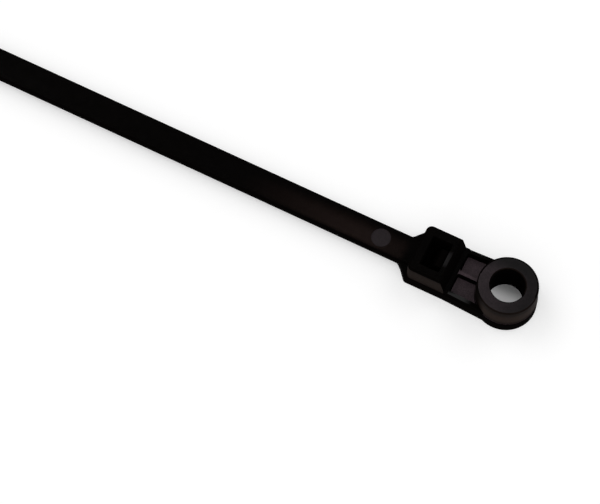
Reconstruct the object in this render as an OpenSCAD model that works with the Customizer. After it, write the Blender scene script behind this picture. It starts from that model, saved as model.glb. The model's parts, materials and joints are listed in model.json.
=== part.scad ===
// One-piece nylon cable tie with a screw ring: strap, locking head, tab and ring.
// The ring's axis is Z, the base lies on Z = 0 and the strap runs towards -X.

/* [Strap] */
// Overall length, from the end of the ring to the tip of the tail
overall_length = 203; // [150:1:380]
// Width of the strap
strap_width = 4.6; // [4.2:0.1:5]
// Thickness of the strap
strap_thickness = 1.2; // [1:0.05:1.4]
// Height of the toothed face above the base
strap_lift = 1.15; // [0.9:0.05:1.4]
// Radius of the long edges on the smooth face
smooth_edge = 0.3; // [0.15:0.05:0.4]
// Radius of the long edges on the toothed face
rail_edge = 0.15; // [0.1:0.05:0.25]
// Length of the tapered tail
tail_length = 18; // [12:1:30]
// Width of the tail at its tip
tip_width = 2.4; // [2:0.1:3]
// Radius of the tip's corners
tip_round = 0.9; // [0.5:0.1:0.9]
// Diameter of the round ejector mark on the smooth face
mark_diameter = 3; // [2:0.1:3.4]
// Depth of the ejector mark
mark_depth = 0.08; // [0.05:0.01:0.15]
// Distance from the ejector mark's centre to the shoulders
mark_gap = 4.2; // [3:0.1:6]

/* [Teeth] */
// Spacing of the teeth, on the strap and on the pawl
tooth_pitch = 1.15; // [1:0.05:1.3]
// Height of a tooth
tooth_height = 0.4; // [0.3:0.05:0.45]
// Depth of the tooth crests below the side rails
crest_recess = 0.1; // [0.05:0.05:0.2]
// Slant of the steep side of a tooth, along the strap
tooth_slant = 0.1; // [0.05:0.05:0.2]
// Width of the smooth rail on each side of the teeth
rail_width = 0.7; // [0.5:0.05:0.9]
// Smooth stretch between the shoulders and the first tooth
smooth_length = 14; // [10:1:30]

/* [Head] */
// Height of the head's top above the base
head_height = 5.5; // [5:0.1:6]
// Thickness of the walls beside the slot
side_wall = 1.6; // [1.3:0.1:1.9]
// Thickness of the wall between the strap's root and the pawl's pocket
root_wall = 1.6; // [1.3:0.1:2.2]
// Thickness of the wall between slot and tab, at its foot
end_wall = 1.6; // [1.2:0.1:1.9]
// Slope of the end face towards the ring, measured along the tie
end_slope = 0.7; // [0.3:0.1:0.9]
// Length of the slanted shoulders between strap and head
shoulder_length = 1.6; // [1.4:0.1:2.4]
// Depth of the shoulders below the strap's smooth face
shoulder_drop = 0.15; // [0.1:0.05:0.3]
// Radius of the hollow corners where the shoulders leave the strap
neck_fillet = 0.9; // [0.6:0.1:1.4]
// Length of the lip under the strap, ahead of the hollow corners
neck_lip = 0.1; // [0.05:0.05:0.4]
// Length of the ramp from the strap's toothed face down to the base
neck_ramp = 0.6; // [0.3:0.1:1]
// Radius of the corners between shoulders and sides
shoulder_round = 0.6; // [0.4:0.1:1]
// Radius of the upper block's front corners
block_round = 0.9; // [0.6:0.1:2]
// Radius of the top edges of head and ring
top_edge = 0.3; // [0.2:0.05:0.45]
// Width of the ledge along the mould's parting line
parting_ledge = 0.08; // [0.05:0.01:0.15]
// Narrowing of the walls above the parting line, on each side
wall_draft = 0.06; // [0.04:0.01:0.2]

/* [Slot and pawl] */
// Play of the strap's thickness in the slot
slot_play = 0.4; // [0.3:0.05:0.6]
// Play of the strap's width in the slot
slot_side_play = 0.4; // [0.2:0.05:0.6]
// Height of the funnel at the slot's mouth
funnel_height = 0.5; // [0.3:0.1:0.8]
// Widening of the funnel on each side of the slot
funnel_spread = 0.3; // [0.1:0.05:0.4]
// Width of the ramp that guides the strap out of the slot
guide_width = 2.8; // [2:0.1:3.4]
// Length of the guide ramp
guide_length = 0.6; // [0.3:0.05:0.7]
// Depth of the guide ramp at the slot
guide_depth = 0.2; // [0.1:0.05:0.3]
// Length of the pocket behind the slot, where the pawl bends
pocket_length = 1.6; // [1.4:0.1:2]
// Height of the ledge that carries the pawl
ledge_height = 1.3; // [1:0.1:1.5]
// Play of the pawl between the strap's rails
pawl_side_play = 0.3; // [0.2:0.05:0.5]
// Distance of the pawl's root behind the slot
root_setback = 0.5; // [0.4:0.05:0.6]
// Thickness of the pawl at its root and its tip
pawl_thickness = 0.5; // [0.4:0.05:0.6]
// Height of the straight stretch of the pawl's root above the ledge
root_height = 0.25; // [0.1:0.05:0.3]
// Depth of the pawl's tip below the head's top
pawl_drop = 0.65; // [0.5:0.05:0.9]
// Share of the strap's core that the resting pawl stands into
pawl_preload = 0.75; // [0.3:0.05:0.9]
// Number of teeth on the pawl
pawl_teeth = 2; // [1:1:2]

/* [Tab and ring] */
// Distance from the ring's axis to the foot of the head's end face
ring_to_head = 8.5; // [8:0.1:10]
// Height of the tab's rims above the strap's smooth face
tab_rise = 0.6; // [0.4:0.05:0.8]
// Inset of the tab's sides from the ring's widest points
tab_inset = 0.27; // [0.1:0.01:0.4]
// Width of the rims around the tab's two recesses
rim_width = 0.65; // [0.5:0.05:0.9]
// Width of the flat strip on the side rims, along the recesses
rim_flat = 0.15; // [0.1:0.05:0.25]
// Fall of the side rims towards their outer edges
rim_fall = 0.15; // [0.1:0.05:0.25]
// Width of the rib between the recesses
rib_width = 0.5; // [0.4:0.05:0.8]
// Depth of the rib's top below the rims
rib_drop = 0.15; // [0.1:0.05:0.4]
// Depth of the recesses
recess_depth = 1.35; // [1:0.05:1.5]
// Radius of the recesses' corners next to the head
recess_round = 0.3; // [0.2:0.05:0.5]
// Diameter of the ring at the base
ring_diameter = 9.5; // [9.2:0.1:10.4]
// Height of the ring above the head's top, which keeps the head clear of the panel
ring_rise = 0.6; // [0.4:0.1:1.4]
// Diameter of the screw hole
hole_diameter = 5.3; // [4.5:0.1:5.8]
// Bevel at the top of the screw hole
hole_bevel = 0.15; // [0.1:0.05:0.4]

/* [Hidden] */
$fn = 96;

// Steps in a rounded corner, and how far cutters and joined solids run on
arc_steps = 5;
overcut = 0.5;
overlap = 0.4;

// Sizes that follow from the strap
core_thickness = strap_thickness - crest_recess - tooth_height;
slot_gap = strap_thickness + slot_play;
slot_width = strap_width + slot_side_play;
tooth_width = strap_width - 2 * rail_width;
pawl_width = tooth_width - pawl_side_play;
head_width = slot_width + 2 * side_wall;
ring_height = head_height + ring_rise;

// Places along the tie
foot_x = -ring_to_head;
slot_x = foot_x - end_wall;
throat_x = slot_x - slot_gap;
pocket_x = throat_x - pocket_length;
front_x = pocket_x - root_wall;
neck_x = front_x - shoulder_length;
tooth_x = neck_x - smooth_length;
tip_x = ring_diameter / 2 - overall_length;
tail_x = tip_x + tail_length;
recess_x = foot_x + rim_width;

// Heights
smooth_z = strap_lift + strap_thickness;
parting_z = smooth_z - shoulder_drop;
upper_z = parting_z - overlap;
tab_z = smooth_z + tab_rise;
crest_z = strap_lift + crest_recess;
root_z = crest_z + tooth_height;

// Half widths across the tie, and radii
strap_half = strap_width / 2;
tip_half = tip_width / 2;
head_half = head_width / 2;
upper_half = head_half - parting_ledge;
top_half = upper_half - wall_draft;
ring_radius = ring_diameter / 2;
ring_upper_radius = ring_radius - parting_ledge;
ring_top_radius = ring_upper_radius - wall_draft;
hole_radius = hole_diameter / 2;

// Sides of the tab, which flare from the head to the ring
tab_half = ring_radius - tab_inset;
tab_upper_half = tab_half - parting_ledge;
tab_flare = atan((tab_upper_half - upper_half) / ring_to_head);
recess_half = upper_half + rim_width * tan(tab_flare) - rim_width;

function unit(v) = v / norm(v);

function turned(v, angle) = [v.x * cos(angle) - v.y * sin(angle), v.x * sin(angle) + v.y * cos(angle)];

// Arc that rounds the corner b between the points a and c
function corner_arc(a, b, c, radius) =
  let (
    back = unit(a - b),
    ahead = unit(c - b),
    half = acos(back * ahead) / 2,
    centre = b + unit(back + ahead) * radius / sin(half),
    start = b + back * radius / tan(half) - centre,
    way = cross(back, ahead) > 0 ? -1 : 1,
    step = way * (180 - 2 * half) / arc_steps
  )
  [for (i = [0 : arc_steps]) centre + turned(start, i * step)];

// Outline through the points, with the corner at each point rounded by its radius
function rounded(points, radii) =
  let (n = len(points))
  [for (i = [0 : n - 1])
    let (before = points[(i + n - 1) % n], after = points[(i + 1) % n])
    each radii[i] == 0 ? [points[i]] : corner_arc(before, points[i], after, radii[i])];

// Solid with a section across the tie, from start to end
module along_x(start, end) {
  translate([start, 0, 0]) rotate([90, 0, 90]) linear_extrude(end - start) children();
}

// Solid with a side profile, centred across the tie
module along_y(width) {
  rotate([90, 0, 0]) linear_extrude(width, center = true) children();
}

// Strap without its teeth, running on into the head
module strap_bar() {
  end_x = front_x + root_wall;
  wide = strap_half + overcut;
  section = [
    [-strap_half, strap_lift], [strap_half, strap_lift],
    [strap_half, smooth_z], [-strap_half, smooth_z]
  ];
  plan = [
    [end_x, -wide], [end_x, wide], [tail_x, wide], [tail_x, strap_half],
    [tip_x, tip_half], [tip_x, -tip_half], [tail_x, -strap_half], [tail_x, -wide]
  ];
  intersection() {
    along_x(tip_x - overcut, end_x)
      polygon(rounded(section, [rail_edge, rail_edge, smooth_edge, smooth_edge]));
    linear_extrude(smooth_z + overcut)
      polygon(rounded(plan, [0, 0, 0, 0, tip_round, tip_round, 0, 0]));
  }
}

// Cutter for the teeth on the underside, with their steep sides towards the head
module tooth_gaps() {
  count = floor((tooth_x - tail_x) / tooth_pitch);
  last_x = tooth_x - count * tooth_pitch;
  low_z = strap_lift - overcut;
  saw = [for (i = [0 : count - 1], x = [tooth_x - i * tooth_pitch])
    each [[x, root_z], [x - tooth_slant, crest_z]]];
  along_y(tooth_width)
    polygon(concat([[tooth_x, low_z]], saw, [[last_x, root_z], [last_x, low_z]]));
}

// Cutter for the round mark on the smooth face
module ejector_mark() {
  translate([neck_x - mark_gap, 0, smooth_z - mark_depth]) cylinder(d = mark_diameter, h = overcut);
}

// Shoulders, head and tab below the parting line, in one flat outline
module base_plate() {
  neck_half = strap_half - parting_ledge;
  neck_turn = atan((head_half - neck_half) / shoulder_length);
  lip_x = neck_x - neck_fillet * tan(neck_turn / 2) - neck_lip;
  side = [
    [lip_x, neck_half], [neck_x, neck_half],
    [front_x, head_half], [foot_x, head_half], [0, tab_half]
  ];
  other_side = [for (i = [len(side) - 1 : -1 : 0]) [side[i].x, -side[i].y]];
  radii = [0, neck_fillet, shoulder_round, 0, 0, 0, 0, shoulder_round, neck_fillet, 0];
  difference() {
    linear_extrude(parting_z) polygon(rounded(concat(side, other_side), radii));
    along_y(head_width) polygon([
      [lip_x - overcut, -overcut], [lip_x + neck_ramp, -overcut], [lip_x + neck_ramp, 0],
      [lip_x, strap_lift], [lip_x - overcut, strap_lift]
    ]);
  }
}

// Head above the parting line
module head_block() {
  back_x = foot_x + overcut;
  start_x = front_x + parting_ledge;
  plan = [[front_x, -head_half], [back_x, -head_half], [back_x, head_half], [front_x, head_half]];
  profile = [
    [start_x, upper_z], [foot_x, upper_z], [foot_x, tab_z],
    [foot_x - end_slope, head_height], [start_x + wall_draft, head_height]
  ];
  section = [
    [-upper_half, upper_z], [upper_half, upper_z],
    [top_half, head_height], [-top_half, head_height]
  ];
  intersection() {
    linear_extrude(head_height + overcut) polygon(rounded(plan, [block_round, 0, 0, block_round]));
    along_y(head_width + overcut) polygon(rounded(profile, [0, 0, 0, top_edge, top_edge]));
    along_x(front_x - overcut, back_x) polygon(rounded(section, [0, 0, top_edge, top_edge]));
  }
}

// Tab above the parting line, with side rims that fall outwards
module tab_block() {
  start_x = foot_x - overlap;
  tilt = atan(rim_fall / (rim_width - rim_flat));
  plan = [
    [start_x, -upper_half], [foot_x, -upper_half], [0, -tab_upper_half],
    [0, tab_upper_half], [foot_x, upper_half], [start_x, upper_half]
  ];
  difference() {
    translate([0, 0, upper_z]) linear_extrude(tab_z - upper_z) polygon(plan);
    for (side = [0, 1])
      mirror([0, side, 0]) translate([recess_x, recess_half + rim_flat, tab_z])
        rotate([-tilt, 0, tab_flare]) cube([2 * ring_to_head, 2 * rim_width, overcut]);
  }
}

// Cutter for the two recesses in the tab, with a rib left between them
module tab_recesses() {
  rib_half = rib_width / 2;
  end_half = tab_upper_half - rim_width;
  rib_reach = rib_half + recess_round;
  plan = [[recess_x, rib_half], [0, rib_half], [0, end_half], [recess_x, recess_half]];
  translate([recess_x, -rib_reach, tab_z - rib_drop])
    cube([ring_to_head, 2 * rib_reach, rib_drop + overcut]);
  for (side = [0, 1])
    mirror([0, side, 0]) translate([0, 0, tab_z - recess_depth]) linear_extrude(recess_depth + overcut)
      polygon(rounded(plan, [recess_round, 0, 0, recess_round]));
}

// Ring from the base to its top, before the hole is cut
module ring() {
  core = hole_radius - overcut;
  wall = [
    [core, 0], [ring_radius, 0], [ring_radius, parting_z],
    [ring_upper_radius, parting_z], [ring_top_radius, ring_height], [core, ring_height]
  ];
  rotate_extrude() polygon(rounded(wall, [0, 0, 0, 0, top_edge, 0]));
}

// Cutter for the screw hole and the bevel at its top
module screw_hole() {
  bevel_height = hole_bevel + overcut;
  translate([0, 0, -overcut]) cylinder(r = hole_radius, h = ring_height + 2 * overcut);
  translate([0, 0, ring_height - hole_bevel])
    cylinder(r1 = hole_radius, r2 = hole_radius + bevel_height, h = bevel_height);
}

// Cutter for the slot, the funnel at its mouth, the pawl's pocket and the guide ramp
module slot_space() {
  high_z = head_height + overcut;
  guide_x = slot_x + guide_length;
  guide_z = head_height - guide_depth;
  spread = funnel_spread * (funnel_height + overcut) / funnel_height;
  along_y(slot_width) polygon([
    [slot_x, high_z], [pocket_x, high_z], [pocket_x, ledge_height], [throat_x, ledge_height],
    [throat_x, funnel_height], [throat_x - spread, -overcut],
    [slot_x + spread, -overcut], [slot_x, funnel_height]
  ]);
  along_y(guide_width) polygon([
    [slot_x - overcut, guide_z], [slot_x, guide_z], [guide_x, head_height],
    [guide_x, high_z], [slot_x - overcut, high_z]
  ]);
}

// Sprung pawl: a tongue that leans from the ledge into the slot, past the roots of the strap's teeth
module pawl() {
  root_x = throat_x - root_setback;
  knee_z = ledge_height + root_height;
  reach_x = slot_x - core_thickness * (1 - pawl_preload);
  face_x = reach_x - tooth_height;
  tip_z = head_height - pawl_drop;
  teeth = [for (i = [pawl_teeth : -1 : 1], foot_z = [tip_z - i * tooth_pitch])
    each [[face_x, foot_z], [reach_x, foot_z + tooth_pitch - tooth_slant]]];
  along_y(pawl_width) polygon(concat(
    [[root_x - pawl_thickness, ledge_height - overlap], [root_x, ledge_height - overlap], [root_x, knee_z]],
    teeth,
    [[face_x, tip_z], [face_x - pawl_thickness, tip_z], [root_x - pawl_thickness, knee_z]]
  ));
}

module cable_tie() {
  color("#1b1a1c") {
    difference() {
      union() {
        difference() {
          union() {
            base_plate();
            tab_block();
          }
          tab_recesses();
        }
        strap_bar();
        head_block();
        ring();
      }
      tooth_gaps();
      ejector_mark();
      slot_space();
      screw_hole();
    }
    pawl();
  }
}

cable_tie();
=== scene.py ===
"""One-piece nylon cable tie with a screw ring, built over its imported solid, and the stage it lies on."""

import json
import math

import bmesh
import bpy
from bpy.props import FloatProperty, FloatVectorProperty, IntProperty, PointerProperty
from mathutils import Matrix, Vector


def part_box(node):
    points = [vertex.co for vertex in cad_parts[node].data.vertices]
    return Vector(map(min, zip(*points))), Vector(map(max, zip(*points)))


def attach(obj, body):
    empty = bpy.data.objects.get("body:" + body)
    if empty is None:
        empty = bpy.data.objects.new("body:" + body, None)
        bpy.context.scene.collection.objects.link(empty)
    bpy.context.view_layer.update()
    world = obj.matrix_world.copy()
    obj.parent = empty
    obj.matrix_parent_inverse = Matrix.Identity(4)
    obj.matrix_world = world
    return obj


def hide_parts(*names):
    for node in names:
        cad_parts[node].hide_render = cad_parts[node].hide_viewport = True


bl_info = {
    "name": "Screw Mount Cable Tie",
    "version": (1, 0, 0),
    "blender": (4, 5, 0),
    "location": "View3D > Sidebar > Cable Tie",
    "description": "Builds a nylon cable tie with a locking head and a screw ring, and a stage for it",
    "category": "Add Mesh",
}

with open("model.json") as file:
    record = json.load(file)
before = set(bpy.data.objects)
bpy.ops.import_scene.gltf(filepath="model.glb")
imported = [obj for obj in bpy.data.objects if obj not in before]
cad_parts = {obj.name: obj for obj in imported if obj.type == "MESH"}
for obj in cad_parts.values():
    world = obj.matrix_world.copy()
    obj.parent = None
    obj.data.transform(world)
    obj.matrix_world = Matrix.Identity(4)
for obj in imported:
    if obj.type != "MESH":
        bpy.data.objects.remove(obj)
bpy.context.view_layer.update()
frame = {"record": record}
TIE_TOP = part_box("cable_tie")[1].z
NYLON_COLOUR = frame["record"]["materials"][0]["base_color"]

MM = 0.001

# Steps in a rounded edge, in a fine edge, in the ledge's edge and in a full circle
EDGE_STEPS = 5
FINE_STEPS = 3
LEDGE_STEPS = 2
CIRCLE_STEPS = 128

# How far cutters and joined solids run on, and how close two places count as one, in millimetres
OVERCUT = 0.5
OVERLAP = 0.4
NEAR = 1e-4

# Angle in degrees from which an edge is shaded sharp
SHARP_ANGLE = 33

# Upward part of a normal from which a face counts as flat, sloping or rounded, and below which as upright
FLAT = 0.99
SLOPING = 0.95
ROUNDED = 0.9
UPRIGHT = 0.1

# Part of a normal along the tie from which a face leans towards the ring
LEANING = 0.3

# The dark matt finish is partly a matt surface, partly painted shade: below the parting line, in the
# openings, on the end face and on the ring's far-facing walls
FINISHES = ("polished", "satin", "wall", "matt_and_shade")

# Noises in the nylon: size in millimetres, detail, and scale along the tie, where less makes longer streaks
NOISES = {
    "mottle": (1.3, 3.0, 1.0),
    "grain": (0.22, 1.0, 1.0),
    "flow": (0.5, 2.0, 0.06),
}
NOISE_MIDDLE = 0.5

# How much the noises change each finish's lightness, roughness and height, and the strength of its bump
MOULDED_TEXTURE = {
    "lightness": {"mottle": 0.5, "grain": 0.7},
    "roughness": {"mottle": 0.16, "grain": 0.2},
    "height": {"grain": 1.0},
    "bump": 0.3,
}
TEXTURES = {
    "polished": {
        "lightness": {"mottle": 0.4, "flow": 0.2},
        "roughness": {"mottle": 0.06},
        "height": {"flow": 0.3, "mottle": 0.3},
        "bump": 0.3,
    },
    "satin": {
        "lightness": {"mottle": 0.5, "grain": 1.1},
        "roughness": {"mottle": 0.2, "grain": 0.3},
        "height": {"grain": 1.0},
        "bump": 0.5,
    },
    "wall": MOULDED_TEXTURE,
    "matt_and_shade": MOULDED_TEXTURE,
}

# Height of the bump in millimetres, and the nylon's index of refraction
BUMP_HEIGHT = 0.02
NYLON_IOR = 1.53

# Stretch along the tie, in millimetres, over which the tab's rims lose their reflection: painted shade
# beside the ring
RIM_SHADE_STRETCH = (-5.6, -3.8)

# Change in roughness where the strap has its brown cast, and across the ring's top
CAST_ROUGHNESS = 0.1
RING_SMOOTHNESS = 0.12

# Share of the strap's brown cast that ends at the ejector mark, while the rest ends at the neck
CAST_PAST_MARK = 0.35

# Painted light and shade on the satin faces: lightness of the ring's top, what the recesses have more
# against their shade, and the guide ramp and the ejector mark less
RING_LIGHT = 1.3
RECESS_LIGHT = 2.3
GUIDE_SHADE = 1.1
MARK_SHADE = 0.4

# Painted shade: how much darker the ring's top gets towards its end, its near side and its far side
RING_END_SHADE = 0.95
RING_NEAR_SHADE = 0.2
RING_FAR_SHADE = 0.85

# How dull the guide ramp is in its middle, how much more at its ends, and how far its middle reaches
GUIDE_DULLNESS = 0.2
GUIDE_END_DULLNESS = 0.6
GUIDE_MIDDLE = 0.32

# Lightness of the walls, the painted light band they have at half height, and the painted shade between ring
# and head
WALL_LIGHT = 0.75
HALF_HEIGHT_LIGHT = 0.6
GAP_SHADE = 0.75

# Floor: size of its mottle in metres, the mottle's detail and dark shade, roughness, strength of reflections
FLOOR_MOTTLE = 0.03
FLOOR_DETAIL = 2.0
FLOOR_SPOTS = 0.985
FLOOR_ROUGHNESS = 0.9
FLOOR_SPECULAR = 0.1

# Soft lamps on the far side: azimuth, elevation and spread in degrees, and power
LAMPS = {
    "left": (258, 50, 36, 0.38),
    "right": (155, 50, 36, 0.28),
}

# Nearest and farthest that the camera sees, in metres
CAMERA_REACH = (0.01, 20)


def length(name, description, millimetres):
    """A size of the tie that a user may change."""
    return FloatProperty(
        name=name, description=description, default=millimetres * MM, min=0, unit="LENGTH", precision=5
    )


def offset(name, description, millimetres):
    """A distance to either side that a user may change."""
    return FloatProperty(name=name, description=description, default=millimetres * MM, unit="LENGTH")


def share(name, description, value):
    """A number from 0 to 1 that a user may change."""
    return FloatProperty(name=name, description=description, default=value, min=0, max=1, subtype="FACTOR")


def tint(name, description, value):
    """A colour that a user may change."""
    return FloatVectorProperty(
        name=name, description=description, default=value, size=3, min=0, max=1, subtype="COLOR"
    )


def turn(name, description, degrees):
    """An angle that a user may change."""
    return FloatProperty(name=name, description=description, default=math.radians(degrees), subtype="ANGLE")


class TieSizes(bpy.types.PropertyGroup):
    """Sizes of the cable tie"""

    overall_length: length("Overall length", "From the end of the ring to the tail's tip", 203)
    strap_width: length("Strap width", "Width of the strap", 4.6)
    strap_thickness: length("Strap thickness", "Thickness of the strap", 1.2)
    strap_lift: length("Strap lift", "Height of the toothed face above the base", 1.15)
    smooth_edge: length("Smooth edge", "Radius of the long edges on the smooth face", 0.3)
    rail_edge: length("Rail edge", "Radius of the long edges on the toothed face", 0.15)
    tail_length: length("Tail length", "Length of the tapered tail", 18)
    tip_width: length("Tip width", "Width of the tail at its tip", 2.4)
    tip_round: length("Tip round", "Radius of the tip's corners", 0.9)
    mark_diameter: length("Mark diameter", "Diameter of the round ejector mark", 3)
    mark_depth: length("Mark depth", "Depth of the ejector mark", 0.08)
    mark_gap: length("Mark gap", "Distance from the ejector mark to the shoulders", 4.2)
    tooth_pitch: length("Tooth pitch", "Spacing of the teeth", 1.15)
    tooth_height: length("Tooth height", "Height of a tooth", 0.4)
    crest_recess: length("Crest recess", "Depth of the crests below the side rails", 0.1)
    tooth_slant: length("Tooth slant", "Slant of a tooth's steep side", 0.1)
    rail_width: length("Rail width", "Width of the rail on each side of the teeth", 0.7)
    smooth_length: length("Smooth length", "Stretch between the shoulders and the first tooth", 14)
    head_height: length("Head height", "Height of the head's top above the base", 5.5)
    side_wall: length("Side wall", "Thickness of the walls beside the slot", 1.6)
    root_wall: length("Root wall", "Wall between the strap's root and the pawl's pocket", 1.6)
    end_wall: length("End wall", "Wall between slot and tab, at its foot", 1.6)
    end_slope: length("End slope", "Slope of the end face, along the tie", 0.7)
    shoulder_length: length("Shoulder length", "Length of the slanted shoulders", 1.6)
    shoulder_drop: length("Shoulder drop", "Depth of the shoulders below the smooth face", 0.15)
    neck_fillet: length("Neck fillet", "Radius of the hollow corners at the strap", 0.9)
    neck_lip: length("Neck lip", "Length of the lip under the strap", 0.1)
    neck_ramp: length("Neck ramp", "Ramp from the toothed face down to the base", 0.6)
    shoulder_round: length("Shoulder round", "Radius between shoulders and sides", 0.6)
    block_round: length("Block round", "Radius of the upper block's front corners", 0.9)
    top_edge: length("Top edge", "Radius of the top edges of head and ring", 0.3)
    parting_ledge: length("Parting ledge", "Width of the ledge along the parting line", 0.08)
    wall_draft: length("Wall draft", "Narrowing of the walls above the parting line", 0.06)
    foot_edge: length("Foot edge", "Radius of the edges along the base", 0.06)
    ledge_edge: length("Ledge edge", "Radius of the ledge's outer edge", 0.05)
    slot_play: length("Slot play", "Play of the strap's thickness in the slot", 0.4)
    slot_side_play: length("Slot side play", "Play of the strap's width in the slot", 0.4)
    mouth_bevel: length("Mouth bevel", "Bevel around the slot's mouth in the head's top", 0.05)
    funnel_height: length("Funnel height", "Height of the funnel at the slot's entry", 0.5)
    funnel_spread: length("Funnel spread", "Widening of the funnel on each side", 0.3)
    guide_width: length("Guide width", "Width of the ramp that guides the strap", 2.8)
    guide_length: length("Guide length", "Length of the guide ramp", 0.6)
    guide_depth: length("Guide depth", "Depth of the guide ramp at the slot", 0.2)
    pocket_length: length("Pocket length", "Length of the pawl's pocket behind the slot", 1.6)
    ledge_height: length("Ledge height", "Height of the ledge that carries the pawl", 1.3)
    pawl_side_play: length("Pawl side play", "Play of the pawl between the rails", 0.3)
    root_setback: length("Root setback", "Distance of the pawl's root behind the slot", 0.5)
    pawl_thickness: length("Pawl thickness", "Thickness of the pawl at its root and its tip", 0.5)
    root_height: length("Root height", "Straight stretch of the pawl's root", 0.25)
    pawl_drop: length("Pawl drop", "Depth of the pawl's tip below the head's top", 0.65)
    ring_to_head: length("Ring to head", "From the ring's axis to the head's end face", 8.5)
    tab_rise: length("Tab rise", "Height of the tab's rims above the smooth face", 0.6)
    tab_inset: length("Tab inset", "Inset of the tab's sides from the ring", 0.27)
    rim_width: length("Rim width", "Width of the rims around the tab's recesses", 0.65)
    rim_fall: length("Rim fall", "Fall of the side rims towards their outer edges", 0.15)
    rim_edge: length("Rim edge", "Radius of the side rims' outer edges", 0.1)
    rib_width: length("Rib width", "Width of the rib between the recesses", 0.5)
    rib_drop: length("Rib drop", "Depth of the rib's top below the rims", 0.15)
    recess_depth: length("Recess depth", "Depth of the recesses", 1.35)
    recess_round: length("Recess round", "Radius of the recesses' corners", 0.3)
    recess_fillet: length("Recess fillet", "Radius along the recesses' floors", 0.12)
    ring_diameter: length("Ring diameter", "Diameter of the ring at the base", 9.5)
    ring_height: length("Ring height", "Height of the ring above the base", TIE_TOP / MM)
    hole_diameter: length("Hole diameter", "Diameter of the screw hole", 5.3)
    hole_bevel: length("Hole bevel", "Bevel at the top of the screw hole", 0.15)
    pawl_preload: share("Pawl preload", "Share of the strap's core that the resting pawl stands into", 0.75)
    pawl_teeth: IntProperty(name="Pawl teeth", description="Number of teeth on the pawl", default=2, min=1)


class TieFinish(bpy.types.PropertyGroup):
    """Colours and gloss of the nylon"""

    polished_colour: tint("Polished colour", "Black of strap and head top", (0.0012, 0.0009, 0.0008))
    warm_colour: tint("Warm colour", "Brown cast on the strap next to the head", (0.0080, 0.0042, 0.0034))
    satin_colour: tint("Satin colour", "Black of the recesses' floors and the ring's top", NYLON_COLOUR)
    # The walls' lighter, warm black is partly painted light: it stands for the pale floor that the walls
    # reflect
    wall_colour: tint("Wall colour", "Black of the walls above the parting line", (0.0095, 0.0062, 0.0050))
    # Partly a matt finish, partly painted shade on the base, in the openings and on far-facing faces
    matt_and_shade_colour: tint("Matt colour", "Black of the base and the openings", (0.0016, 0.0012, 0.0011))
    polished_roughness: share("Polished roughness", "Roughness of the polished faces", 0.15)
    satin_roughness: share("Satin roughness", "Roughness of the satin faces", 0.5)
    wall_roughness: share("Wall roughness", "Roughness of the walls", 0.6)
    matt_and_shade_roughness: share("Matt roughness", "Roughness of the matt faces", 0.75)
    polished_specular: share("Polished specular", "Strength of reflections on the polished faces", 0.25)
    satin_specular: share("Satin specular", "Strength of reflections on the satin faces", 0.16)
    wall_specular: share("Wall specular", "Strength of reflections on the walls", 0.012)
    matt_and_shade_specular: share("Matt specular", "Strength of reflections on the matt faces", 0.002)


class StageLook(bpy.types.PropertyGroup):
    """Camera, light and floor"""

    floor_colour: tint("Floor colour", "Colour of the pale floor", (0.72, 0.72, 0.72))
    floor_side: length("Floor side", "Side of the square floor", 6000)
    floor_glow: share("Floor glow", "Glow of the floor for the camera, around the tie", 0.4)
    # The glow in the hole is a painted patch of light, brighter towards the near side
    hole_glow: share("Hole glow", "Glow of the floor for the camera, inside the screw hole", 0.21)
    dome_strength: share("Dome strength", "Light of the white dome", 0.88)
    window_strength: share("Window strength", "Light of the dome's dark window", 0.02)
    window_azimuth: turn("Window azimuth", "Turn of the dark window about the tie", 203)
    window_elevation: turn("Window elevation", "Height of the dark window", 57)
    window_inner: turn("Window inner", "Angle from the window's middle to the start of its edge", 22)
    window_outer: turn("Window outer", "Angle from the window's middle to the end of its edge", 32)
    view_azimuth: turn("View azimuth", "Turn of the camera about the tie", 26.67)
    view_elevation: turn("View elevation", "Height of the camera above the floor", 67)
    view_distance: length("View distance", "Distance of the camera", 388.9)
    view_right: offset("View right", "Sideways offset of the camera", -30.67)
    view_up: offset("View up", "Upward offset of the camera", 7.28)
    lens: FloatProperty(name="Lens", description="Focal length", default=156, unit="CAMERA")


class Millimetres:
    """Reads the lengths of a property group in millimetres."""

    def __init__(self, group):
        self.group = group

    def __getattr__(self, name):
        return getattr(self.group, name) / MM


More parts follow.
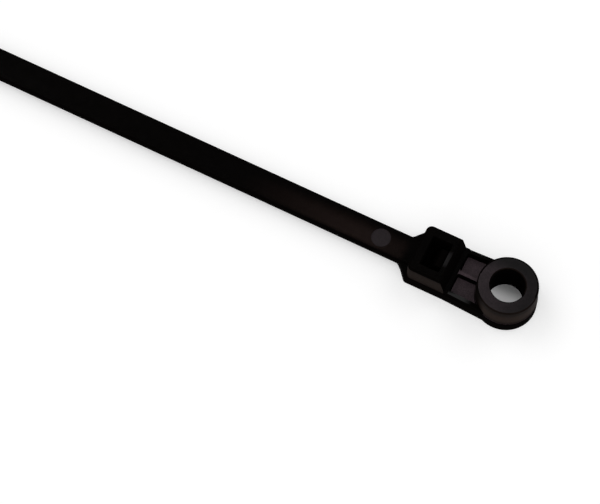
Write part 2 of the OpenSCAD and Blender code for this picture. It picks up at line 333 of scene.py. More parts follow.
class Plan:
    """Places, heights and widths that follow from the sizes, in millimetres."""

    def __init__(self, size):
        self.core_thickness = size.strap_thickness - size.crest_recess - size.tooth_height
        self.slot_gap = size.strap_thickness + size.slot_play
        self.slot_width = size.strap_width + size.slot_side_play
        self.tooth_width = size.strap_width - 2 * size.rail_width
        self.foot_x = -size.ring_to_head
        self.slot_x = self.foot_x - size.end_wall
        self.throat_x = self.slot_x - self.slot_gap
        self.pocket_x = self.throat_x - size.pocket_length
        self.front_x = self.pocket_x - size.root_wall
        self.neck_x = self.front_x - size.shoulder_length
        self.tooth_x = self.neck_x - size.smooth_length
        self.mark_x = self.neck_x - size.mark_gap
        self.tip_x = size.ring_diameter / 2 - size.overall_length
        self.tail_x = self.tip_x + size.tail_length
        self.smooth_z = size.strap_lift + size.strap_thickness
        self.parting_z = self.smooth_z - size.shoulder_drop
        self.upper_z = self.parting_z - OVERLAP
        self.tab_z = self.smooth_z + size.tab_rise
        self.root_z = size.strap_lift + size.crest_recess + size.tooth_height
        self.top_z = size.head_height
        self.strap_half = size.strap_width / 2
        self.guide_half = size.guide_width / 2
        self.head_half = self.slot_width / 2 + size.side_wall
        self.upper_half = self.head_half - size.parting_ledge
        self.ring_radius = size.ring_diameter / 2
        self.hole_radius = size.hole_diameter / 2
        self.neck_half = self.strap_half - size.parting_ledge
        neck_turn = math.atan((self.head_half - self.neck_half) / size.shoulder_length)
        self.lip_x = self.neck_x - size.neck_fillet * math.tan(neck_turn / 2) - size.neck_lip
        self.tab_half = self.ring_radius - size.tab_inset
        self.tab_upper_half = self.tab_half - size.parting_ledge
        self.tab_flare = (self.tab_upper_half - self.upper_half) / size.ring_to_head
        self.recess_x = self.foot_x + size.rim_width
        self.recess_z = self.tab_z - size.recess_depth
        self.recess_half = self.upper_half + size.rim_width * self.tab_flare - size.rim_width


def new_verts(drawn):
    """The vertices among what an extrusion made."""
    return [part for part in drawn["geom"] if isinstance(part, bmesh.types.BMVert)]


def round_corners(bm, corners, rounds):
    """Rounds the corners of an outline that are listed by their number, each with its radius."""
    for index, radius in (rounds or {}).items():
        corner = corners[index]
        back, ahead = (edge.other_vert(corner).co - corner.co for edge in corner.link_edges)
        reach = radius / math.tan(back.angle(ahead) / 2)
        bmesh.ops.bevel(
            bm, geom=[corner], offset=reach, offset_type="OFFSET", affect="VERTICES",
            segments=EDGE_STEPS, profile=0.5, material=-1,
        )


def drawn_solid(outline, way, rounds=None):
    """Closed solid: a flat outline, some of its corners rounded, drawn out along a vector."""
    bm = bmesh.new()
    corners = [bm.verts.new(point) for point in outline]
    bm.faces.new(corners)
    round_corners(bm, corners, rounds)
    drawn = bmesh.ops.extrude_face_region(bm, geom=bm.faces[:], use_keep_orig=True)
    bmesh.ops.translate(bm, vec=way, verts=new_verts(drawn))
    bmesh.ops.recalc_face_normals(bm, faces=bm.faces[:])
    return bm


def side_solid(profile, width, rounds=None):
    """Closed solid with a side profile of (x, z) points, centred across the tie."""
    outline = [(x, -width / 2, z) for x, z in profile]
    return drawn_solid(outline, (0, width, 0), rounds)


def spun_solid(profile, rounds=None):
    """Closed solid of a profile of (radius, z) points, from axis to axis, turned about the ring's axis."""
    bm = bmesh.new()
    points = [bm.verts.new((radius, 0, z)) for radius, z in profile]
    for start, end in zip(points, points[1:]):
        bm.edges.new((start, end))
    round_corners(bm, points, rounds)
    bmesh.ops.spin(
        bm, geom=bm.verts[:] + bm.edges[:], axis=(0, 0, 1), cent=(0, 0, 0), angle=math.tau,
        steps=CIRCLE_STEPS, use_merge=True,
    )
    bmesh.ops.remove_doubles(bm, verts=bm.verts[:], dist=NEAR)
    bmesh.ops.recalc_face_normals(bm, faces=bm.faces[:])
    return bm


def round_edges(bm, radius, wanted, steps=EDGE_STEPS):
    """Rounds the edges that a test of their two ends accepts."""
    edges = [edge for edge in bm.edges if wanted(*(vert.co for vert in edge.verts))]
    bmesh.ops.bevel(
        bm, geom=edges, offset=radius, offset_type="OFFSET", affect="EDGES",
        segments=steps, profile=0.5, material=-1, clamp_overlap=True,
    )


def at_height(z):
    """Test for edges that lie flat at a height."""
    return lambda a, b: abs(a.z - z) < NEAR and abs(b.z - z) < NEAR


def as_object(bm, name):
    """Puts a bmesh into a new object of the scene."""
    mesh = bpy.data.meshes.new(name)
    bm.to_mesh(mesh)
    bm.free()
    made = bpy.data.objects.new(name, mesh)
    bpy.context.scene.collection.objects.link(made)
    return made


def strap_bar(size, plan):
    """Strap without its teeth, running on into the head."""
    end_x = plan.pocket_x
    tip_half = size.tip_width / 2
    low, high = size.strap_lift, plan.smooth_z
    side = [(end_x, plan.strap_half), (plan.tail_x, plan.strap_half), (plan.tip_x, tip_half)]
    outline = [(end_x, -plan.strap_half, low)] + [(x, y, low) for x, y in side]
    outline += [(plan.tip_x, -tip_half, low), (plan.tail_x, -plan.strap_half, low)]
    bm = drawn_solid(outline, (0, 0, high - low), {3: size.tip_round, 4: size.tip_round})
    inside = lambda a, b: a.x < end_x - NEAR or b.x < end_x - NEAR
    round_edges(bm, size.smooth_edge, lambda a, b: at_height(high)(a, b) and inside(a, b))
    round_edges(bm, size.rail_edge, lambda a, b: at_height(low)(a, b) and inside(a, b))
    return as_object(bm, "strap_bar")


def tooth_gaps(size, plan):
    """Cutter for the teeth on the underside: a saw-shaped sheet, drawn from edge to edge, made thick."""
    bm = bmesh.new()
    count = math.floor((plan.tooth_x - plan.tail_x) / size.tooth_pitch)
    half = plan.tooth_width / 2
    edge = bm.edges.new([bm.verts.new((plan.tooth_x, side * half, plan.root_z)) for side in (-1, 1)])
    steep = Vector((-size.tooth_slant, 0, -size.tooth_height))
    ramp = Vector((size.tooth_slant - size.tooth_pitch, 0, size.tooth_height))
    for way in [steep, ramp] * count:
        drawn = bmesh.ops.extrude_edge_only(bm, edges=[edge])
        bmesh.ops.translate(bm, vec=way, verts=new_verts(drawn))
        edge = next(part for part in drawn["geom"] if isinstance(part, bmesh.types.BMEdge))
    drawn = bmesh.ops.extrude_face_region(bm, geom=bm.faces[:], use_keep_orig=True)
    depth = size.tooth_height + size.crest_recess + OVERCUT
    bmesh.ops.translate(bm, vec=(0, 0, -depth), verts=new_verts(drawn))
    bmesh.ops.recalc_face_normals(bm, faces=bm.faces[:])
    return as_object(bm, "tooth_gaps")


def ejector_mark(size, plan):
    """Cutter for the round mark on the smooth face."""
    bm = bmesh.new()
    radius = size.mark_diameter / 2
    bmesh.ops.create_cone(
        bm, cap_ends=True, segments=CIRCLE_STEPS // 2, radius1=radius, radius2=radius, depth=OVERCUT,
        matrix=Matrix.Translation((plan.mark_x, 0, plan.smooth_z - size.mark_depth + OVERCUT / 2)),
    )
    return as_object(bm, "ejector_mark")


def base_plate(size, plan):
    """Everything below the parting line, up to the middle of the ring, in one flat outline."""
    side = [
        (plan.lip_x, plan.neck_half), (plan.neck_x, plan.neck_half),
        (plan.front_x, plan.head_half), (plan.foot_x, plan.head_half), (0, plan.tab_half),
    ]
    outline = [(x, y, 0) for x, y in side] + [(x, -y, 0) for x, y in reversed(side)]
    rounds = {1: size.neck_fillet, 2: size.shoulder_round, 7: size.shoulder_round, 8: size.neck_fillet}
    bm = drawn_solid(outline, (0, 0, plan.parting_z), rounds)
    round_edges(bm, size.ledge_edge, at_height(plan.parting_z), LEDGE_STEPS)
    round_edges(bm, size.foot_edge, at_height(0), FINE_STEPS)
    return as_object(bm, "base_plate")


def neck_wedge(size, plan):
    """Cutter for the ramp under the strap, from its toothed face down to the base."""
    start_x, end_x = plan.lip_x - OVERCUT, plan.lip_x + size.neck_ramp
    profile = [
        (start_x, -OVERCUT), (end_x, -OVERCUT), (end_x, 0),
        (plan.lip_x, size.strap_lift), (start_x, size.strap_lift),
    ]
    return as_object(side_solid(profile, 2 * plan.head_half), "neck_wedge")


def head_block(size, plan):
    """Head above the parting line, drafted and rounded."""
    start_x = plan.front_x + size.parting_ledge
    profile = [
        (start_x, plan.upper_z), (plan.foot_x, plan.upper_z), (plan.foot_x, plan.tab_z),
        (plan.foot_x - size.end_slope, plan.top_z), (start_x + size.wall_draft, plan.top_z),
    ]
    bm = side_solid(profile, 2 * plan.upper_half)
    rise = plan.top_z - plan.parting_z
    for vert in bm.verts:
        inset = size.wall_draft * (vert.co.z - plan.parting_z) / rise
        vert.co.y -= math.copysign(max(inset, 0), vert.co.y)
    front = start_x + size.wall_draft + NEAR
    upright = lambda a, b: a.x < front and b.x < front and abs(a.z - b.z) > OVERLAP
    round_edges(bm, size.block_round, upright, 2 * EDGE_STEPS)
    round_edges(bm, size.top_edge, at_height(plan.top_z))
    return as_object(bm, "head_block")


def tab_block(size, plan):
    """Tab above the parting line, before its rims and recesses are cut."""
    start_x = plan.foot_x - OVERLAP
    side = [(start_x, plan.upper_half), (plan.foot_x, plan.upper_half), (0, plan.tab_upper_half)]
    outline = [(x, y, plan.upper_z) for x, y in side] + [(x, -y, plan.upper_z) for x, y in reversed(side)]
    return as_object(drawn_solid(outline, (0, 0, plan.tab_z - plan.upper_z)), "tab_block")


def rim_slope(size, plan, side):
    """Cutter for the sloping top and the rounded outer edge of the rim on one side of the tab."""
    inner, edge = plan.recess_half, plan.recess_half + size.rim_width
    knee, outer = edge - size.rim_edge, edge + OVERCUT
    knee_z = plan.tab_z - size.rim_fall * (knee - inner) / size.rim_width
    low, high = knee_z - (outer - knee), plan.tab_z + OVERCUT
    section = [(inner, plan.tab_z), (knee, knee_z), (outer, low), (outer, high), (inner, high)]
    outline = [(plan.recess_x, side * y, z) for y, z in section]
    way = (size.ring_to_head, side * size.ring_to_head * plan.tab_flare, 0)
    return as_object(drawn_solid(outline, way, {1: size.rim_edge}), "rim_slope")


def tab_recess(size, plan, side):
    """Cutter for the recess on one side of the tab's rib."""
    rib_half = size.rib_width / 2
    end_half = plan.tab_upper_half - size.rim_width
    corners = [(plan.recess_x, rib_half), (0, rib_half), (0, end_half), (plan.recess_x, plan.recess_half)]
    outline = [(x, side * y, plan.recess_z) for x, y in corners]
    rounds = {0: size.recess_round, 3: size.recess_round}
    bm = drawn_solid(outline, (0, 0, size.recess_depth + OVERCUT), rounds)
    round_edges(bm, size.recess_fillet, at_height(plan.recess_z), FINE_STEPS)
    return as_object(bm, "tab_recess")


def rib_top(size, plan):
    """Cutter that lowers the rib between the recesses."""
    reach = size.rib_width / 2 + size.recess_round
    low, high = plan.tab_z - size.rib_drop, plan.tab_z + OVERCUT
    section = [(-reach, low), (reach, low), (reach, high), (-reach, high)]
    outline = [(plan.recess_x, y, z) for y, z in section]
    return as_object(drawn_solid(outline, (size.ring_to_head, 0, 0)), "rib_top")


def ring_wall(size, plan):
    """Ring from the base to its top, before the hole is cut."""
    upper_radius = plan.ring_radius - size.parting_ledge
    top_radius = upper_radius - size.wall_draft
    profile = [
        (0, 0), (plan.ring_radius, 0), (plan.ring_radius, plan.parting_z),
        (upper_radius, plan.parting_z), (top_radius, size.ring_height), (0, size.ring_height),
    ]
    rounds = {1: size.foot_edge, 2: size.ledge_edge, 4: size.top_edge}
    return as_object(spun_solid(profile, rounds), "ring_wall")


def screw_hole(size, plan):
    """Cutter for the screw hole and the bevel at its top."""
    radius, top = plan.hole_radius, size.ring_height
    profile = [
        (0, -OVERCUT), (radius, -OVERCUT), (radius, top - size.hole_bevel),
        (radius + size.hole_bevel + OVERCUT, top + OVERCUT), (0, top + OVERCUT),
    ]
    return as_object(spun_solid(profile), "screw_hole")


def slot_space(size, plan):
    """Cutter for the slot, the funnel at its entry and the pawl's pocket."""
    high_z = plan.top_z + OVERCUT
    spread = size.funnel_spread * (size.funnel_height + OVERCUT) / size.funnel_height
    profile = [
        (plan.slot_x, high_z), (plan.pocket_x, high_z), (plan.pocket_x, size.ledge_height),
        (plan.throat_x, size.ledge_height), (plan.throat_x, size.funnel_height),
        (plan.throat_x - spread, -OVERCUT), (plan.slot_x + spread, -OVERCUT),
        (plan.slot_x, size.funnel_height),
    ]
    return as_object(side_solid(profile, plan.slot_width), "slot_space")


def slot_mouth(size, plan):
    """Cutter for the bevel around the slot's mouth, with its upper face spread."""
    bm = bmesh.new()
    low = plan.top_z - size.mouth_bevel
    rise = size.mouth_bevel + OVERCUT
    reach, middle = plan.slot_x - plan.pocket_x, (plan.slot_x + plan.pocket_x) / 2
    bmesh.ops.create_cube(bm, size=1)
    bmesh.ops.scale(bm, vec=(reach, plan.slot_width, rise), verts=bm.verts[:])
    bmesh.ops.translate(bm, vec=(middle, 0, low + rise / 2), verts=bm.verts[:])
    for vert in bm.verts:
        if vert.co.z > plan.top_z:
            vert.co.x += math.copysign(rise, vert.co.x - middle)
            vert.co.y += math.copysign(rise, vert.co.y)
    return as_object(bm, "slot_mouth")


def strap_guide(size, plan):
    """Cutter for the ramp that guides the strap out of the slot."""
    low, high = plan.top_z - size.guide_depth, plan.top_z + OVERCUT
    near_x, far_x = plan.slot_x - OVERCUT, plan.slot_x + size.guide_length
    profile = [(near_x, low), (plan.slot_x, low), (far_x, plan.top_z), (far_x, high), (near_x, high)]
    return as_object(side_solid(profile, size.guide_width), "strap_guide")


def pawl(size, plan):
    """Sprung pawl: a tongue that leans from the ledge into the slot, past the roots of the teeth."""
    root_x = plan.throat_x - size.root_setback
    knee_z = size.ledge_height + size.root_height
    foot_z = size.ledge_height - OVERLAP
    reach_x = plan.slot_x - plan.core_thickness * (1 - size.group.pawl_preload)
    face_x = reach_x - size.tooth_height
    tip_z = plan.top_z - size.pawl_drop
    profile = [(root_x - size.pawl_thickness, foot_z), (root_x, foot_z), (root_x, knee_z)]
    for tooth in range(size.group.pawl_teeth, 0, -1):
        low = tip_z - tooth * size.tooth_pitch
        profile += [(face_x, low), (reach_x, low + size.tooth_pitch - size.tooth_slant)]
    profile += [
        (face_x, tip_z), (face_x - size.pawl_thickness, tip_z), (root_x - size.pawl_thickness, knee_z)
    ]
    return as_object(side_solid(profile, plan.tooth_width - size.pawl_side_play), "pawl")


def moulded(name, base, steps):
    """One closed mesh in metres from a base solid and the solids joined to it or cut from it, in order."""
    for operation, solid in steps:
        modifier = base.modifiers.new(solid.name, "BOOLEAN")
        modifier.operation = operation
        modifier.solver = "EXACT"
        modifier.object = solid
    shaped = base.evaluated_get(bpy.context.evaluated_depsgraph_get())
    mesh = bpy.data.meshes.new_from_object(shaped)
    mesh.name = name
    for solid in [base] + [solid for _, solid in steps]:
        bpy.data.objects.remove(solid)
    bm = bmesh.new()
    bm.from_mesh(mesh)
    bmesh.ops.remove_doubles(bm, verts=bm.verts[:], dist=NEAR)
    bmesh.ops.dissolve_degenerate(bm, edges=bm.edges[:], dist=NEAR)
    bmesh.ops.scale(bm, vec=(MM, MM, MM), verts=bm.verts[:])
    bm.to_mesh(mesh)
    bm.free()
    mesh.shade_smooth()
    mesh.set_sharp_from_angle(angle=math.radians(SHARP_ANGLE))
    made = bpy.data.objects.new(name, mesh)
    bpy.context.scene.collection.objects.link(made)
    weighted = made.modifiers.new("even_shading", "WEIGHTED_NORMAL")
    weighted.keep_sharp = True
    return made


class Shade:
    """A shader socket in an expression: arithmetic on it adds Math nodes to its tree."""

    def __init__(self, tree, socket=None):
        self.tree = tree
        self.socket = socket

    def node(self, kind, settings=None, inputs=None, output=0):
        """Adds a node, its settings first and then its inputs' values or links, and gives an output."""
        made = self.tree.nodes.new(kind)
        for name, value in (settings or {}).items():
            setattr(made, name, value)
        for key, value in (inputs or {}).items():
            if isinstance(value, Shade):
                self.tree.links.new(value.socket, made.inputs[key])
            else:
                made.inputs[key].default_value = value
        return Shade(self.tree, made.outputs[output]) if made.outputs else made

    def beside(self, output):
        """Another output of the same node."""
        return Shade(self.tree, self.socket.node.outputs[output])

    def math(self, operation, first, second):
        """One Math node on two values."""
        return self.node("ShaderNodeMath", {"operation": operation}, {0: first, 1: second})

    def __add__(self, other):
        return self.math("ADD", self, other)

    def __radd__(self, other):
        return self.math("ADD", other, self)

    def __sub__(self, other):
        return self.math("SUBTRACT", self, other)

    def __rsub__(self, other):
        return self.math("SUBTRACT", other, self)

    def __mul__(self, other):
        return self.math("MULTIPLY", self, other)

    def __rmul__(self, other):
        return self.math("MULTIPLY", other, self)

    def ramp(self, low, high):
        """Smooth step from 0 at low to 1 at high."""
        settings = {"interpolation_type": "SMOOTHSTEP"}
        return self.node("ShaderNodeMapRange", settings, {"Value": self, "From Min": low, "From Max": high})

    def over(self, start, end):
        """Smooth step from 0 to 1 between two places along one axis, in millimetres."""
        return self.ramp(start * MM, end * MM)

    def blend(self, first, second):
        """Mixes two colours, with this value as the share of the second."""
        settings = {"data_type": "RGBA"}
        return self.node("ShaderNodeMix", settings, {"Factor": self, 6: first, 7: second}, 2)


def opaque(colour):
    """A colour with its alpha."""
    return (*colour, 1.0)


def empty_material(name):
    """A new node material with nothing in it, and its tree as a wrapper."""
    material = bpy.data.materials.new(name)
    material.use_nodes = True
    material.node_tree.nodes.clear()
    return material, Shade(material.node_tree)


def places(tree):
    """The place on the object as a vector, and its three parts."""
    where = tree.node("ShaderNodeTexCoord", output="Object")
    x = tree.node("ShaderNodeSeparateXYZ", None, {0: where}, "X")
    return where, x, x.beside("Y"), x.beside("Z")


def speckle(tree, where, size, detail):
    """Noise with features of about that size in metres, from 0 to 1."""
    return tree.node("ShaderNodeTexNoise", None, {"Vector": where, "Scale": 1 / size, "Detail": detail})


def nylon_noise(tree, where, name):
    """One of the nylon's noises, drawn out along the tie where it has streaks."""
    size, detail, along = NOISES[name]
    if along != 1:
        where = tree.node("ShaderNodeMapping", None, {"Vector": where, "Scale": (along, 1.0, 1.0)})
    return speckle(tree, where, size * MM, detail)


def finish_of(face, size, plan):
    """Which finish a face has, from its middle and its slope."""
    x, y, z = face.center / MM
    up = face.normal.z
    flat = up > FLAT
    ring_distance = math.hypot(x, y)
    on_ring = ring_distance < plan.ring_radius + NEAR
    in_hole = ring_distance < plan.hole_radius + NEAR
    on_tab = plan.foot_x + NEAR < x < 0 and not on_ring
    recess_half = plan.recess_half + (x - plan.recess_x) * plan.tab_flare
    in_recess = on_tab and x > plan.recess_x - NEAR and abs(y) < recess_half + NEAR
    in_slot = plan.pocket_x - NEAR < x < plan.slot_x + NEAR and abs(y) < plan.slot_width / 2 + NEAR
    past_slot = plan.slot_x < x < plan.slot_x + size.guide_length
    on_guide = past_slot and z > plan.tab_z and not flat and abs(y) < NEAR
    on_mark = flat and math.hypot(x - plan.mark_x, y) < NEAR
    on_end_face = x < plan.foot_x + NEAR and face.normal.x > LEANING
    if on_guide:
        finish = "satin"
    elif in_recess:
        finish = "satin" if flat else "matt_and_shade"
    # Below the parting line, in the openings and on the end face the dark matt finish is partly painted
    # shade
    elif z < plan.parting_z - NEAR or in_hole or in_slot or on_end_face:
        finish = "matt_and_shade"
    elif up < UPRIGHT:
        finish = "matt_and_shade" if on_tab else "wall"
    elif on_ring:
        # On the ring, near-facing faces take the lighter finishes and far-facing ones the dark matt: painted
        # light and shade
        near = face.normal.y < 0
        finish = "satin" if flat or near and up > ROUNDED else "wall" if near else "matt_and_shade"
    elif on_mark:
        finish = "satin"
    elif flat or on_tab and up > SLOPING:
        finish = "polished"
    else:
        finish = "matt_and_shade"
    return FINISHES.index(finish)


def strap_brown_cast(x, y, plan):
    """How strong the brown cast on the polished strap is: most along its middle, on the last stretch before
    the head.
    """
    started = x.over(plan.neck_x - 29.5, plan.neck_x - 7.5)
    past_mark = x.over(plan.mark_x - 0.3, plan.mark_x + 2.2)
    past_neck = x.over(plan.neck_x - 0.8, plan.neck_x + 0.7)
    past_edge = y.over(-plan.strap_half, 0.9 - plan.strap_half)
    past_middle = y.over(-0.4, 2)
    faded = past_mark * CAST_PAST_MARK + past_neck * (1 - CAST_PAST_MARK)
    return started * (1 - faded) * past_edge * (1 - past_middle)


def satin_light(x, y, z, plan):
    """Painted light and shade on the satin faces: recesses lighter against their shade, the ring's top
    darker towards its end, near and far sides, guide ramp and mark darker; and how much the guide ramp's
    reflection is cut, most at its ends.
    """
    on_top = z.over(plan.top_z - 1.5, plan.top_z - 0.5)
    in_recess = x.over(plan.foot_x - 3.5, plan.foot_x - 0.5) * (1 - on_top)
    on_guide = on_top * (1 - x.over(plan.foot_x - 0.5, plan.foot_x + 1.5))
    on_mark = 1 - x.over(plan.neck_x - 1.5, plan.neck_x + 2.5)
    ring_end = x.over(-2, 4.5)
    ring_near = 1 - y.over(-4.5, 0)
    ring_far = y.over(0.6, 3.6)
    lightness = RING_LIGHT + in_recess * RECESS_LIGHT - on_guide * GUIDE_SHADE - on_mark * MARK_SHADE
    lightness = lightness - on_top * (ring_end * RING_END_SHADE + ring_near * RING_NEAR_SHADE)
    lightness = lightness * (1 - on_top * ring_far * RING_FAR_SHADE)
    guide_half = plan.guide_half * MM
    guide_end = (y * y).ramp((GUIDE_MIDDLE * guide_half) ** 2, guide_half ** 2)
    return lightness, on_guide * (GUIDE_DULLNESS + guide_end * GUIDE_END_DULLNESS)


def wall_light(x, z, plan):
    """Painted light and shade on the walls: a light band at half height, brightest on the ring, and darker
    between ring and head.
    """
    half_height = z.over(plan.parting_z, plan.parting_z + 1.2)
    half_height = half_height * (1 - z.over(plan.top_z - 1.3, plan.top_z + 0.1))
    on_ring = x.over(-3.4, -1.6)
    in_gap = x.over(-7, -5) * (1 - on_ring)
    lightness = WALL_LIGHT + half_height * (1 + on_ring) * HALF_HEIGHT_LIGHT
    return lightness * (1 - in_gap * GAP_SHADE)


def nylon_material(finish, look, plan):
    """Moulded black nylon in one finish, with its own share of grain, mottle and flow lines."""
    material, tree = empty_material(f"{finish}_nylon")
    where, x, y, z = places(tree)
    texture = TEXTURES[finish]
    noises = {}

    def varied(value, changed):
        """A value with the changes that this finish's noises make to it."""
        for name, weight in texture[changed].items():
            if name not in noises:
                noises[name] = nylon_noise(tree, where, name) - NOISE_MIDDLE
            value = value + noises[name] * weight
        return value

    colour = getattr(look, f"{finish}_colour")
    lightness = varied(1.0, "lightness")
    roughness = varied(getattr(look, f"{finish}_roughness"), "roughness")
    height = varied(0.0, "height")
    reflection_cut = None
    if finish == "polished":
        brown_cast = strap_brown_cast(x, y, plan)
        colour = brown_cast.blend(opaque(colour), opaque(look.warm_colour))
        roughness = roughness + brown_cast * CAST_ROUGHNESS
        # Painted shade: beside the ring the rims lose their reflection
        reflection_cut = x.over(*RIM_SHADE_STRETCH)
    elif finish == "satin":
        # Painted light and shade: the satin colour is lifted in the recesses and darkened across the ring's
        # top, the guide ramp and the mark
        light, reflection_cut = satin_light(x, y, z, plan)
        lightness = lightness * light
        roughness = roughness - x.over(0, plan.ring_radius + 0.25) * RING_SMOOTHNESS
    elif finish == "wall":
        # Painted light and shade: a light band at half height, and shade between ring and head
        lightness = lightness * wall_light(x, z, plan)
    colour = tree.node("ShaderNodeVectorMath", {"operation": "SCALE"}, {0: colour, "Scale": lightness})
    bump = {"Strength": texture["bump"], "Distance": BUMP_HEIGHT * MM, "Height": height}
    surface = {"Base Color": colour, "Normal": tree.node("ShaderNodeBump", None, bump), "IOR": NYLON_IOR}
    gloss = {"Roughness": roughness, "Specular IOR Level": getattr(look, f"{finish}_specular")}
    shader = tree.node("ShaderNodeBsdfPrincipled", None, surface | gloss)
    if reflection_cut:
        gloss = {"Roughness": look.matt_and_shade_roughness, "Specular IOR Level": look.matt_and_shade_specular}
        dull = tree.node("ShaderNodeBsdfPrincipled", None, surface | gloss)
        shader = tree.node("ShaderNodeMixShader", None, {0: reflection_cut, 1: shader, 2: dull})
    tree.node("ShaderNodeOutputMaterial", None, {"Surface": shader})
    return material


def floor_material(look, plan):
    """Pale rough floor that glows for the camera: around the tie and not under the head; in the hole the
    weaker glow is a painted patch of light.
    """
    material, tree = empty_material("pale_floor")
    where, x, y, _ = places(tree)
    mottle = speckle(tree, where, FLOOR_MOTTLE, FLOOR_DETAIL)
    spots = tuple(FLOOR_SPOTS * part for part in look.floor_colour)
    paint = tree.node("ShaderNodeBsdfPrincipled", None, {
        "Base Color": mottle.blend(opaque(spots), opaque(look.floor_colour)),
        "Roughness": FLOOR_ROUGHNESS, "Specular IOR Level": FLOOR_SPECULAR,
    })
    inner, outer = (plan.hole_radius * MM) ** 2, (plan.head_half * MM) ** 2
    ahead = x.math("MAXIMUM", x, 0.0)
    under_tie = 1 - (ahead * ahead + y * y).ramp(inner, outer)
    under_tie = under_tie * x.over(plan.front_x, plan.pocket_x)
    in_hole = 1 - (x * x + y * y).ramp(inner, outer)
    near_side = 1 - y.over(-0.2, 2.3)
    seen = tree.node("ShaderNodeLightPath", output="Is Camera Ray")
    seen = seen + seen.beside("Is Glossy Ray") + seen.beside("Is Transmission Ray")
    # In the hole a painted patch of light, brighter towards the near side
    grey = (1 - under_tie) * look.floor_glow + in_hole * near_side * look.hole_glow
    glow = tree.node("ShaderNodeEmission", None, {"Color": seen * grey, "Strength": 1.0})
    shader = tree.node("ShaderNodeAddShader", None, {0: paint, 1: glow})
    tree.node("ShaderNodeOutputMaterial", None, {"Surface": shader})
    return material


class CABLE_TIE_OT_make_tie(bpy.types.Operator):
    """Model the cable tie as one moulding, in place of its plain solid"""

    bl_idname = "cable_tie.make_tie"
    bl_label = "Make Cable Tie"

    def execute(self, context):
        size = Millimetres(context.scene.cable_tie_sizes)
        plan = Plan(size)
        steps = [
            ("DIFFERENCE", tooth_gaps(size, plan)),
            ("UNION", base_plate(size, plan)),
            ("DIFFERENCE", neck_wedge(size, plan)),
            ("UNION", tab_block(size, plan)),
            ("DIFFERENCE", rim_slope(size, plan, 1)),
            ("DIFFERENCE", rim_slope(size, plan, -1)),
            ("DIFFERENCE", tab_recess(size, plan, 1)),
            ("DIFFERENCE", tab_recess(size, plan, -1)),
            ("DIFFERENCE", rib_top(size, plan)),
            ("UNION", head_block(size, plan)),
            ("UNION", ring_wall(size, plan)),
            ("DIFFERENCE", ejector_mark(size, plan)),
            ("DIFFERENCE", slot_space(size, plan)),
            ("DIFFERENCE", slot_mouth(size, plan)),
            ("DIFFERENCE", strap_guide(size, plan)),
            ("DIFFERENCE", screw_hole(size, plan)),
            ("UNION", pawl(size, plan)),
        ]
        tie = moulded("moulded_tie", strap_bar(size, plan), steps)
        for finish in FINISHES:
            tie.data.materials.append(nylon_material(finish, context.scene.cable_tie_finish, plan))
        for face in tie.data.polygons:
            face.material_index = finish_of(face, size, plan)
        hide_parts("cable_tie")
        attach(tie, "root")
        return {"FINISHED"}


def direction(azimuth, elevation):
    """Unit vector towards an azimuth, which starts at -Y and turns to +X, and an elevation."""
    level = math.cos(elevation)
    return Vector((math.sin(azimuth) * level, -math.cos(azimuth) * level, math.sin(elevation)))


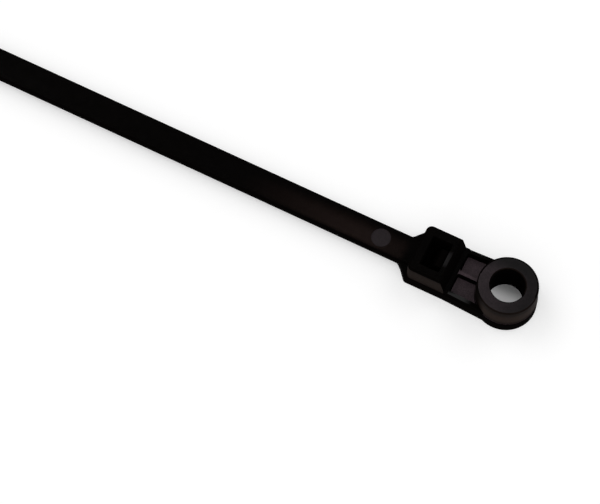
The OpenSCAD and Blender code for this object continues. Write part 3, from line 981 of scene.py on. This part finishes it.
class CABLE_TIE_OT_make_stage(bpy.types.Operator):
    """Lay the pale floor and set the light and the camera"""

    bl_idname = "cable_tie.make_stage"
    bl_label = "Make Stage"

    def execute(self, context):
        scene = context.scene
        look = scene.cable_tie_stage
        self.lay_floor(look, Plan(Millimetres(scene.cable_tie_sizes)))
        self.light_world(scene, look)
        self.place_lamps(scene)
        self.place_camera(scene, look)
        scene.view_settings.view_transform = "Standard"
        return {"FINISHED"}

    def lay_floor(self, look, plan):
        """Square floor under the tie."""
        bm = bmesh.new()
        bmesh.ops.create_grid(bm, x_segments=1, y_segments=1, size=look.floor_side / 2)
        floor = as_object(bm, "floor")
        floor.data.materials.append(floor_material(look, plan))

    def light_world(self, scene, look):
        """White dome with a dark window high on the far side, which polished tops mirror."""
        world = bpy.data.worlds.new("studio")
        world.use_nodes = True
        world.node_tree.nodes.clear()
        tree = Shade(world.node_tree)
        where = tree.node("ShaderNodeTexCoord", output="Generated")
        middle = direction(look.window_azimuth, look.window_elevation)
        along = {"operation": "DOT_PRODUCT"}
        towards = tree.node("ShaderNodeVectorMath", along, {0: where, 1: middle}, "Value")
        window = towards.ramp(math.cos(look.window_outer), math.cos(look.window_inner))
        dome = look.dome_strength - window * (look.dome_strength - look.window_strength)
        seen = tree.node("ShaderNodeLightPath", output="Is Camera Ray")
        background = tree.node(
            "ShaderNodeBackground", None, {"Color": (1, 1, 1, 1), "Strength": dome * (1 - seen) + seen}
        )
        tree.node("ShaderNodeOutputWorld", None, {"Surface": background})
        scene.world = world

    def place_lamps(self, scene):
        """Large soft lamps, turned towards the tie."""
        for name, (azimuth, elevation, spread, power) in LAMPS.items():
            lamp = bpy.data.lights.new(name, "SUN")
            lamp.energy = power
            lamp.angle = math.radians(spread)
            made = bpy.data.objects.new(name, lamp)
            back = direction(math.radians(azimuth), math.radians(elevation))
            made.rotation_mode = "QUATERNION"
            made.rotation_quaternion = back.to_track_quat("Z", "Y")
            made.location = back
            scene.collection.objects.link(made)

    def place_camera(self, scene, look):
        """Camera at the viewing angle, shifted sideways and upwards from the ring."""
        right = Vector((math.cos(look.view_azimuth), math.sin(look.view_azimuth), 0))
        back = direction(look.view_azimuth, look.view_elevation)
        up = back.cross(right)
        camera = bpy.data.cameras.new("camera")
        camera.lens = look.lens
        camera.clip_start, camera.clip_end = CAMERA_REACH
        made = bpy.data.objects.new("camera", camera)
        made.matrix_world = Matrix((right, up, back)).transposed().to_4x4()
        made.location = right * look.view_right + up * look.view_up + back * look.view_distance
        scene.collection.objects.link(made)
        scene.camera = made


class CABLE_TIE_PT_panel(bpy.types.Panel):
    """Sizes, finish and stage of the cable tie"""

    bl_idname = "CABLE_TIE_PT_panel"
    bl_label = "Cable Tie"
    bl_space_type = "VIEW_3D"
    bl_region_type = "UI"
    bl_category = "Cable Tie"

    def draw(self, context):
        scene = context.scene
        for operator, groups in [
            (CABLE_TIE_OT_make_tie, [scene.cable_tie_sizes, scene.cable_tie_finish]),
            (CABLE_TIE_OT_make_stage, [scene.cable_tie_stage]),
        ]:
            self.layout.operator(operator.bl_idname)
            for group in groups:
                for name in group.__annotations__:
                    self.layout.prop(group, name)


CLASSES = (
    TieSizes, TieFinish, StageLook, CABLE_TIE_OT_make_tie, CABLE_TIE_OT_make_stage, CABLE_TIE_PT_panel
)


def register():
    for each in CLASSES:
        bpy.utils.register_class(each)
    bpy.types.Scene.cable_tie_sizes = PointerProperty(type=TieSizes)
    bpy.types.Scene.cable_tie_finish = PointerProperty(type=TieFinish)
    bpy.types.Scene.cable_tie_stage = PointerProperty(type=StageLook)


def unregister():
    del bpy.types.Scene.cable_tie_stage
    del bpy.types.Scene.cable_tie_finish
    del bpy.types.Scene.cable_tie_sizes
    for each in reversed(CLASSES):
        bpy.utils.unregister_class(each)


def main():
    register()
    bpy.ops.cable_tie.make_tie()
    bpy.ops.cable_tie.make_stage()


if __name__ == "__main__":
    main()
